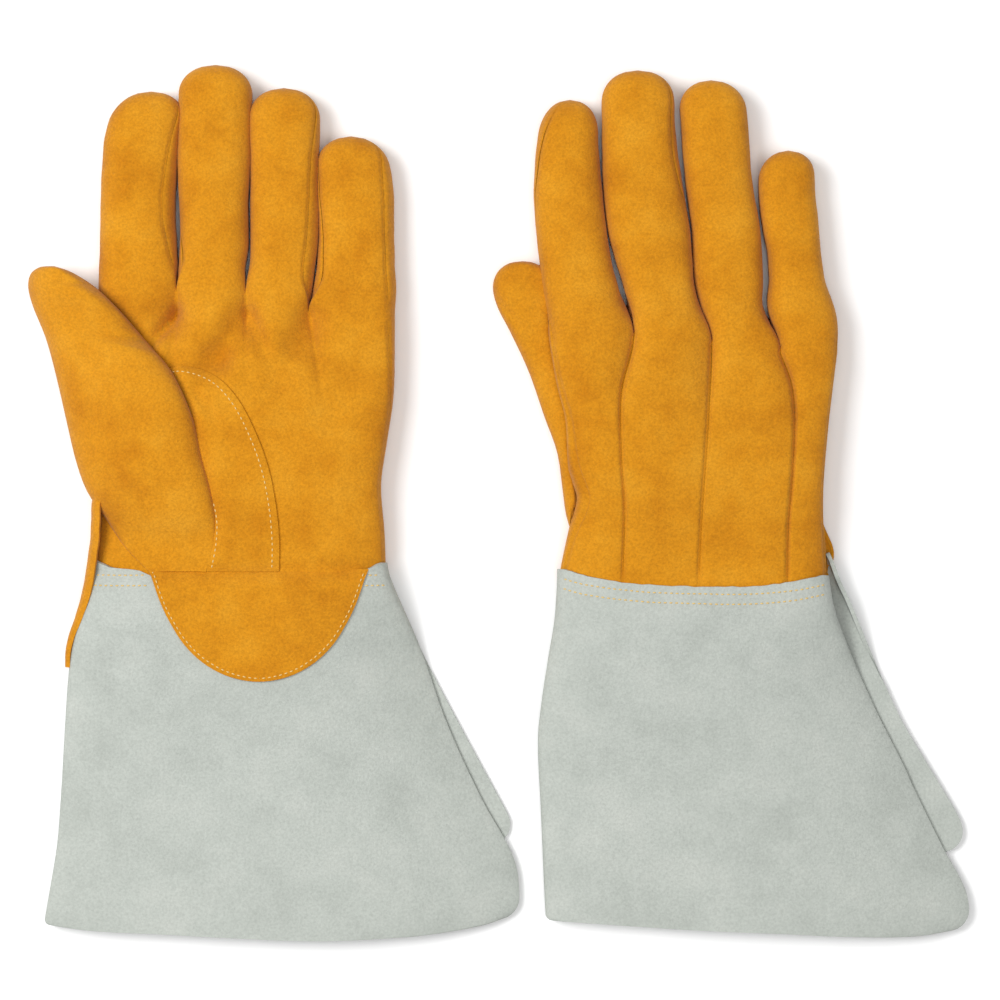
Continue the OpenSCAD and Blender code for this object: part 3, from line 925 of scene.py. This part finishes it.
def thumb_section(shape, t, x, up, inset=0.0):
    """A point of the thumb's skin: t along it, x from -1 (outer edge) to 1 (palm edge)."""
    close = tip_shrink(t, 1.0, 0.16)
    lu, lv = along_list(shape.thumb_left)(t)
    ru, rv = along_list(shape.thumb_right)(t)
    across = math.hypot(ru - lu, rv - lv)
    width = max(across - 2 * inset, 1) / across
    u = (lu + ru) / 2 + (ru - lu) / 2 * x * width
    v = (lv + rv) / 2 + (rv - lv) / 2 * x * width
    free = step(THUMB_BASE_V - 12, THUMB_BASE_V + 10, rv)
    plump = 1 + 0.05 * rumple(u, v, 22, shape.seed + 20)
    if shape.palm_up:
        palm_z = hand_height(shape, ru, rv, True)
        outer_z = lerp(14.0, 13.5, free)
        inner_z = lerp(palm_z - 1.4, palm_z + 3.2, free)
        rise, drop = lerp(7.0, 12.5, step(-2, 50, rv)) * plump, lerp(8, 9.0, free)
    else:
        outer_z, inner_z = lerp(9.5, 8.5, free), 6.5
        rise, drop = lerp(8, 9.5, free) * plump, 8.5
    mid = lerp(outer_z, inner_z, (x + 1) / 2)
    tall = 0.1 + 0.9 * close
    if up:
        z = mid + (rise * tall - inset) * arch(x, 2.5)
    else:
        z = mid - (drop * tall - inset) * arch(x, 3.0)
    inside = u > shape.edge[0](v) + 2
    if shape.palm_up and not up and free > 0.5 and inside:  # lies on the palm
        z = max(z, hand_height(shape, u, v, True) + 0.6)
        z = min(z, mid + rise * tall * arch(x, 2.5) - 2)
    if not shape.palm_up:  # lies between the surface and the palm
        z = max(z, 0.3)
        if up and inside:
            z = min(z, max(hand_height(shape, u, v, False) - 0.8, 2.5))
    if shape.palm_up and inside and v < 26:  # sewn flat to the palm at the wrist seam
        skin = hand_height(shape, u, v, True)
        z = lerp(skin + (1.5 if up else 0.1), z, step(SEAM_V, 24, v))
    if up:
        z += 0.5 * math.sin(v / 4.4 + 2 * rumple(u, v, 14, 31)) * free * arch(x, 2) * (1 - t)
        z += 0.7 * rumple(u, v, 15, shape.seed + 24) * arch(x, 2)
        # the thumb's own seams, drawn in
        if shape.palm_up:
            z -= 0.2 * seam_dip(v) * step(22, 4, v) + 0.9 * hump(x, 0.82, 0.07) * step(0.55, 0.8, t)
        else:
            z -= 0.9 * hump(x, -0.7 + (103 - v) * 0.021, 0.08) * step(80, 90, v)
    if inset:  # stays between the two halves of leather
        top, low = (thumb_section(shape, t, x * width, face).z for face in (True, False))
        z = clamp(z, low + inset, top - inset) if top - low > 2 * inset else (top + low) / 2
    return Vector((u, v, z))


def thumb_half(shape, up):
    def make(c, r):
        x = -math.cos(math.pi * c / THUMB_COLUMNS)
        t = math.sin(r / THUMB_ROWS * math.pi / 2) ** 0.9
        return thumb_section(shape, t * THUMB_END, x, up)
    points, faces = sheet_grid(make, THUMB_COLUMNS, THUMB_ROWS)
    tip = THUMB_ROWS * (THUMB_COLUMNS + 1)  # the last row closes to one point
    points[tip] = (thumb_section(shape, THUMB_END, 0, True) + thumb_section(shape, THUMB_END, 0, False)) / 2
    faces = [[min(i, tip) for i in face] for face in faces]
    return points, (faces if up else [face[::-1] for face in faces])


def make_thumb(shape):
    halves = {up: thumb_half(shape, up) for up in (True, False)}
    points = halves[True][0] + halves[False][0]
    shift = len(halves[True][0])
    low_faces = [[i + shift for i in face] for face in halves[False][1]]
    normals = grid_normals(points, halves[True][1] + low_faces)
    wide = THUMB_COLUMNS + 1
    for r in range(THUMB_ROWS + 1):  # the two halves share their edges' normals
        for c in (0, THUMB_COLUMNS):
            i = r * wide + c
            both = (normals[i] + normals[i + shift]).normalized()
            normals[i] = normals[i + shift] = both
    for up, faces in ((True, halves[True][1]), (False, low_faces)):
        part = "front" if up == shape.palm_up else "back"
        node = f"{shape.name}_thumb_{part}"
        obj = thick_piece(node + "_leather", shape, points, faces, normals, LEATHER, GOLD)
        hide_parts(node)
        bend_with(obj, shape, "thumb", THUMB_BEND)


def make_thumb_lining(shape):
    rings = []
    rows, across = 16, 10
    for r in range(rows + 1):
        t = lerp(0.45, 0.93, r / rows)
        xs = [-math.cos(math.pi * c / across) for c in range(across + 1)]
        top = [thumb_section(shape, t, x * 0.98, True, LINING_IN) for x in xs]
        low = [thumb_section(shape, t, x * 0.98, False, LINING_IN) for x in xs]
        rings.append(top + low[::-1])
    node = shape.name + "_thumb_lining"
    obj = fleece_piece(node + "_fleece", shape, rings, True)
    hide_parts(node)
    bend_with(obj, shape, "thumb", THUMB_BEND)


# -------- cuff

def cornered(line, v, length, radius, sign):
    """The side of the cuff at v, rounded off at the mouth. sign is the way out, -1 or 1."""
    up = v + length
    if up >= radius:
        return line(v)
    return line(v) - sign * (radius - math.sqrt(max(radius ** 2 - (radius - up) ** 2, 0)))


def mouth_shift(shape, x, v, up):
    """How far a row's point moves along the glove, because the mouth isn't cut level."""
    if up:
        return -shape.mouth(x) * step(-50, -shape.cuff_l, v)
    share = clamp((x - 0.1) / 0.9)
    slant = (shape.cuff_low_l - shape.cuff_low_end) * share * -v / shape.cuff_low_l
    return slant - shape.mouth(-1) * step(0.2, -1, x) * step(-50, -shape.cuff_l, v)


def cuff_point(shape, x, v, up):
    """A point of the cuff's outer skin. x is -1 at the fold and 1 at the open slit."""
    left = cornered(shape.cuff_left, v, shape.cuff_l, FOLD_R, -1)
    if up:
        right = cornered(shape.cuff_top, v, shape.cuff_l, TOP_R, 1)
    else:
        slit_v = v + mouth_shift(shape, 1, v, up)
        right = cornered(shape.cuff_low, slit_v, shape.cuff_low_end, LOW_R, 1)
    u = (left + right) / 2 + (right - left) / 2 * x
    v += mouth_shift(shape, x, v, up)
    return Vector((u, v, cuff_height(shape, u, x, v, up)))


def cuff_height(shape, u, x, v, up):
    wrist = step(-42, 2, v)
    lap = 0.7 if shape.palm_up else 1.5
    h = lerp(MOUTH_H, WRIST_H + lap, step(-95, 0, v))
    if up == shape.palm_up:
        h -= seam_dip(v) + 1.6 * step(-9, -3, v) * step(43, 37, abs(u - PATCH_U - shape.patch_shift))
    mid = lerp(0.5 * h, MIDDLE * h, wrist)
    foot = 0.15 if shape.palm_up else 1.5
    if not up:
        edge = lerp(foot, mid, wrist)
        power = FLAT if x < 0 else lerp(9, FLAT, wrist)
        rim = mid if x < 0 else edge
        return foot + (rim - foot) * (1 - arch(x, power))
    top = h + 0.9 * rumple(u, v, 45, shape.seed + 40) + 0.35 * rumple(u, v, 16, shape.seed + 41)
    if x < 0:
        return mid + (top - mid) * arch(x, lerp(3.0, 4.6, wrist))
    rim = lerp(foot + CUFF_T + 1.6, mid, wrist)
    fall = lerp((1 - x * x) ** 0.8, arch(x, 4.6), wrist)
    return rim + (top - rim) * fall


def cuff_rows_v(length, radius):
    """v of the rows from just above the wrist seam to the mouth, closer round the corner."""
    above = 3
    straight = above + length - radius
    rows = [above - straight * i / CUFF_STRAIGHT for i in range(CUFF_STRAIGHT + 1)]
    turns = (math.pi / 2 * i / CUFF_ROUND for i in range(1, CUFF_ROUND + 1))
    return rows + [-length + radius * (1 - math.sin(turn)) for turn in turns]


def make_cuff(shape):
    """One folded sheet: from the slit over the top, round the fold and back below."""
    half = CUFF_COLUMNS
    top_rows, low_rows = (cuff_rows_v(length, TOP_R) for length in (shape.cuff_l, shape.cuff_low_l))

    def make(c, r):
        up = c <= half
        x = math.cos(math.pi * c / half) if up else -math.cos(math.pi * (c - half) / half)
        v = top_rows[r] if up else lerp(low_rows[r], top_rows[r], step(0.2, -1, x))
        if r < RIM_ROWS:  # its upper edge
            rim = shape.cuff_rim(59 * x) if up else 1.0
            if not up and x > 0.4 and not shape.palm_up:
                rim += 13 * step(0.4, 1, x)
            v += (rim - 3 + 0.35 * rumple(x * 60, 0, 3, shape.seed)) * (1 - r / RIM_ROWS)
        return cuff_point(shape, x, v, up)

    points, faces = sheet_grid(make, 2 * half, len(top_rows) - 1)
    normals = grid_normals(points, faces)
    for i, normal in enumerate(normals):  # close rows at the slanted mouth can turn one over
        if i % (2 * half + 1) > half * 1.25 and normal.z > 0:
            normals[i] = -normal
    name = shape.name + "_cuff"
    obj = thick_piece(name, shape, points, faces, normals, CUFF_T, GREY)
    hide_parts(name + "_front", name + "_back")
    ride_hand(obj, shape)


def cuff_skin(shape, u, v, up):
    """The point of the cuff's skin at (u, v)."""
    left = shape.cuff_left(v)
    right = (shape.cuff_top if up else shape.cuff_low)(v)
    x = clamp((u - (left + right) / 2) / ((right - left) / 2), -1, 1)
    return Vector((u, v, cuff_height(shape, u, x, v, up)))


# -------- patches and tail

def palm_skin(shape, u, v):
    """The palm face's skin, on the hand or on the cuff."""
    up = shape.palm_up
    if v >= SEAM_V:
        return Vector((u, v, hand_height(shape, u, v, up)))
    return cuff_skin(shape, u, v, up)


def raise_by(point, amount, up):
    return point + Vector((0, 0, amount if up else -amount))


def patch_piece(name, shape, make, columns, rows):
    """A reinforcing patch: make gives a point of the skin under it."""
    points, faces = sheet_grid(make, columns, rows)
    wide = columns + 1
    for i, p in enumerate(points):
        c, r = i % wide, i // wide
        on_edge = c in (0, columns) or r in (0, rows)
        points[i] = raise_by(p, PATCH_T * (0.8 if on_edge else 1.0), shape.palm_up)
    if shape.palm_up:
        faces = [face[::-1] for face in faces]
    obj = sheet_piece(name, shape, points, faces, PATCH_T, GOLD)
    ride_hand(obj, shape)
    return obj


def moon_reach(depth):
    """Half the half-moon's width at a depth below the wrist seam: a circle's, a little narrowed."""
    share = min(depth / HALF_MOON, 1)
    taper = 1 - 0.1 * min(1, math.sqrt(2 * share))
    return max(HALF_MOON * math.sqrt(1 - share ** 2) * taper, 1.0)


def make_half_moon(shape):
    middle = PATCH_U + shape.patch_shift

    def make(c, r):
        depth = HALF_MOON * math.sin(r / MOON_ROWS * math.pi / 2)
        u = middle + moon_reach(depth) * (2 * c / MOON_COLUMNS - 1)
        p = palm_skin(shape, u, SEAM_V - 0.05 - depth)
        if r == 0:  # the upper edge is turned in under the hand's
            p = raise_by(p, -0.8, shape.palm_up) + Vector((0, 1.2, 0))
        return p
    obj = patch_piece(shape.name + "_half_moon", shape, make, MOON_COLUMNS, MOON_ROWS)
    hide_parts(shape.name + "_wrist_patch")


def make_crescent(shape):
    outer, inner = along_list(CRESCENT_OUT), along_list(CRESCENT_IN)

    def make(c, r):
        along, t = r / CRESCENT_ROWS, c / CRESCENT_COLUMNS
        (ou, ov), (iu, iv) = outer(along), inner(along)
        return palm_skin(shape, lerp(iu, ou, t), lerp(iv, ov, t))
    obj = patch_piece(shape.name + "_crescent", shape, make, CRESCENT_COLUMNS, CRESCENT_ROWS)
    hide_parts(shape.name + "_thumb_crotch_patch")


# u of the tail's outer edge on the left glove, along v
TAIL_OUT = through((-41, -70.6), (-32, -70.2), (-20.5, -66.4), (-10, -63.4), (3.5, -61.2), (12, -60.2),
                   (26, -59.4), (38, -57.4))


def make_tail(shape):
    """The narrow tail of the index strip, outside the cuff's fold on the left glove and
    inside it on the right one."""
    rows, columns = 40, 8
    top, end = 37, -41

    def make(c, r):
        v = lerp(top, end, r / rows)
        fold = shape.cuff_left(v) if v < 0 else shape.edge[0](v)
        out = TAIL_OUT(v) + 0.3 * rumple(v, 0, 7, 55) if shape.palm_up else fold + 2.6
        tall = lerp(2.0, 9.5 if shape.palm_up else 5.0, step(-44, 6, v))
        turn = math.pi * c / columns
        middle = MIDDLE * lerp(MOUTH_H, HAND_H - 2, step(-95, 0, v)) + 0.6
        tuck = lerp(1.3, 3.4, step(end, -6, v)) * (1 - math.sin(turn) ** 0.7)
        return Vector((out + tuck, v, middle + tall * math.cos(turn)))
    points, faces = sheet_grid(make, columns, rows)
    faces = [face[::-1] for face in faces]
    obj = sheet_piece(shape.name + "_wrist_tail", shape, points, faces, TAIL_T, GOLD)
    ride_hand(obj, shape)


# -------- stitches

class Threads:
    """Collects the stitches of one glove into one mesh."""

    def __init__(self, shape):
        self.shape, self.points, self.faces = shape, [], []

    def stitch(self, a, b, out):
        """One stitch from a to b, which dives into the leather at both ends."""
        along = (b - a).normalized()
        side = out.cross(along).normalized()
        rings, sides = 5, 6
        first = len(self.points)
        for i in range(rings):
            t = i / (rings - 1)
            centre = a.lerp(b, t) + out * (THREAD_R * (1.5 * math.sin(math.pi * t) - 0.75))
            radius = THREAD_R * (0.45 + 0.55 * math.sin(math.pi * lerp(0.12, 0.88, t)))
            for k in range(sides):
                turn = 2 * math.pi * k / sides
                self.points.append(centre + (side * math.cos(turn) + out * math.sin(turn)) * radius)
        for i in range(rings - 1):
            for k in range(sides):
                m = (k + 1) % sides
                row = first + i * sides
                self.faces.append([row + k, row + k + sides, row + m + sides, row + m])
        self.faces.append([first + k for k in range(sides)])
        end = first + (rings - 1) * sides
        self.faces.append([end + k for k in reversed(range(sides))])

    def row(self, curve, out, steps=400):
        """Stitches along curve(t), t from 0 to 1, evenly spaced. out points out of the leather."""
        places = [curve(i / steps) for i in range(steps + 1)]
        length, at = 0.0, [0.0]
        for p, q in zip(places, places[1:]):
            length += (q - p).length
            at.append(length)
        count = int(length / PITCH)

        def where(s):
            low, high = 0, steps
            while high - low > 1:
                half = (low + high) // 2
                low, high = (half, high) if at[half] < s else (low, half)
            span = max(at[high] - at[low], 1e-6)
            return places[low].lerp(places[high], (s - at[low]) / span)
        for n in range(count):
            s = (n + 0.5) * PITCH
            wobble = Vector((0, 0.12 * rumple(s, 3, 1.7, 77), 0))
            self.stitch(where(s - STITCH / 2) + wobble, where(s + STITCH / 2) - wobble, out)

    def finish(self):
        name = self.shape.name + "_stitching"
        obj = new_mesh(name + "_thread", [world(self.shape, p) for p in self.points],
                       self.faces, THREAD)
        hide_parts(name)
        ride_hand(obj, self.shape)


def sew(shape):
    threads = Threads(shape)
    palm = Vector((0, 0, 1 if shape.palm_up else -1))
    outer, inner = along_list(CRESCENT_OUT), along_list(CRESCENT_IN)
    middle = PATCH_U + shape.patch_shift

    def on_patch(u, v):
        return raise_by(palm_skin(shape, u, v), PATCH_T, shape.palm_up)

    def moon(t):
        share = math.sin(math.pi * t)
        depth = (HALF_MOON - MOON_SEAM_IN) * share
        reach = moon_reach(HALF_MOON * share) - MOON_SEAM_IN
        return on_patch(middle + (reach if t > 0.5 else -reach), SEAM_V - depth)

    def crescent(share):
        """A row at a share of the way from the outer to the inner edge."""
        def at(t):
            (ou, ov), (iu, iv) = outer(lerp(0.02, 1, t)), inner(lerp(0.02, 1, t))
            gap = max(math.hypot(ou - iu, ov - iv), 1)
            return on_patch(lerp(ou, iu, share(gap)), lerp(ov, iv, share(gap)))
        return at

    threads.row(moon, palm)
    threads.row(crescent(lambda gap: 2.8 / gap), palm)
    lower = crescent(lambda gap: 1 - 4.2 / gap)
    threads.row(lambda t: lower(lerp(0.66, 1, t)), palm)
    for up in (True, False):
        out = Vector((0, 0, 1 if up else -1))
        front = up == shape.palm_up
        for v in ((-3.4, -7.6) if front else (-3.0, -7.0)):
            left, right = shape.cuff_left(v) + 2.5, shape.cuff_top(v) - 2.5
            spans = [(left, right)]
            if front:  # stops at the half-moon
                reach = moon_reach(SEAM_V - v) + 0.6
                spans = [(left, middle - reach), (middle + reach, right)]
            for a, b in spans:
                def along(t):
                    u = lerp(a, b, t)
                    sag = 0 if front else shape.cuff_rim(u)
                    return cuff_skin(shape, u, v + sag + 0.25 * rumple(u, v, 12, 5), up)
                threads.row(along, out)
    threads.finish()


for glove in GLOVES:
    make_hand(glove)
    make_thumb(glove)
    make_cuff(glove)
    make_half_moon(glove)
    make_crescent(glove)
    make_tail(glove)
    make_hand_lining(glove)
    make_thumb_lining(glove)
    for finger in range(4):
        make_finger_lining(glove, finger)
    sew(glove)


# -------- floor, light and camera

def studio():
    scene = bpy.context.scene
    floor_mesh = bpy.data.meshes.new("floor")
    reach = 4.0
    corners = [(x * reach, y * reach, 0) for x, y in ((-1, -1), (1, -1), (1, 1), (-1, 1))]
    floor_mesh.from_pydata(corners, [], [(0, 1, 2, 3)])
    floor = bpy.data.objects.new("floor", floor_mesh)
    scene.collection.objects.link(floor)
    floor.location.z = -0.0004   # just under the leather
    look = Look("floor")
    look.shader.inputs["Base Color"].default_value = (0.93, 0.93, 0.93, 1)
    look.shader.inputs["Roughness"].default_value = 0.8
    floor_mesh.materials.append(look.material)
    world_data = bpy.data.worlds.new("studio")
    world_data.use_nodes = True
    background = world_data.node_tree.nodes["Background"]
    background.inputs["Color"].default_value = (1, 1, 1, 1)
    background.inputs["Strength"].default_value = 0.38
    scene.world = world_data
    for name, place, size, power in (("key", (-0.95, 0.3, 1.6), 0.8, 26),
                                     ("fill", (0.25, -0.2, 2.2), 1.2, 20)):
        light = bpy.data.lights.new(name, "AREA")
        light.size, light.energy = size, power
        lamp = bpy.data.objects.new(name, light)
        lamp.location = place
        lamp.rotation_euler = (-Vector(place)).to_track_quat("-Z", "Y").to_euler()
        scene.collection.objects.link(lamp)
    scene.view_settings.view_transform = "Standard"


def camera():
    """Straight down, from far enough off that the gloves hardly spread with height."""
    view_width, height, middle_y = 0.406, 2.0, 0.0016
    data = bpy.data.cameras.new("camera")
    data.sensor_width = 36
    data.lens = data.sensor_width * (height - 0.012) / view_width
    cam = bpy.data.objects.new("camera", data)
    cam.location = (0, middle_y, height)
    bpy.context.scene.collection.objects.link(cam)
    bpy.context.scene.camera = cam


studio()
camera()
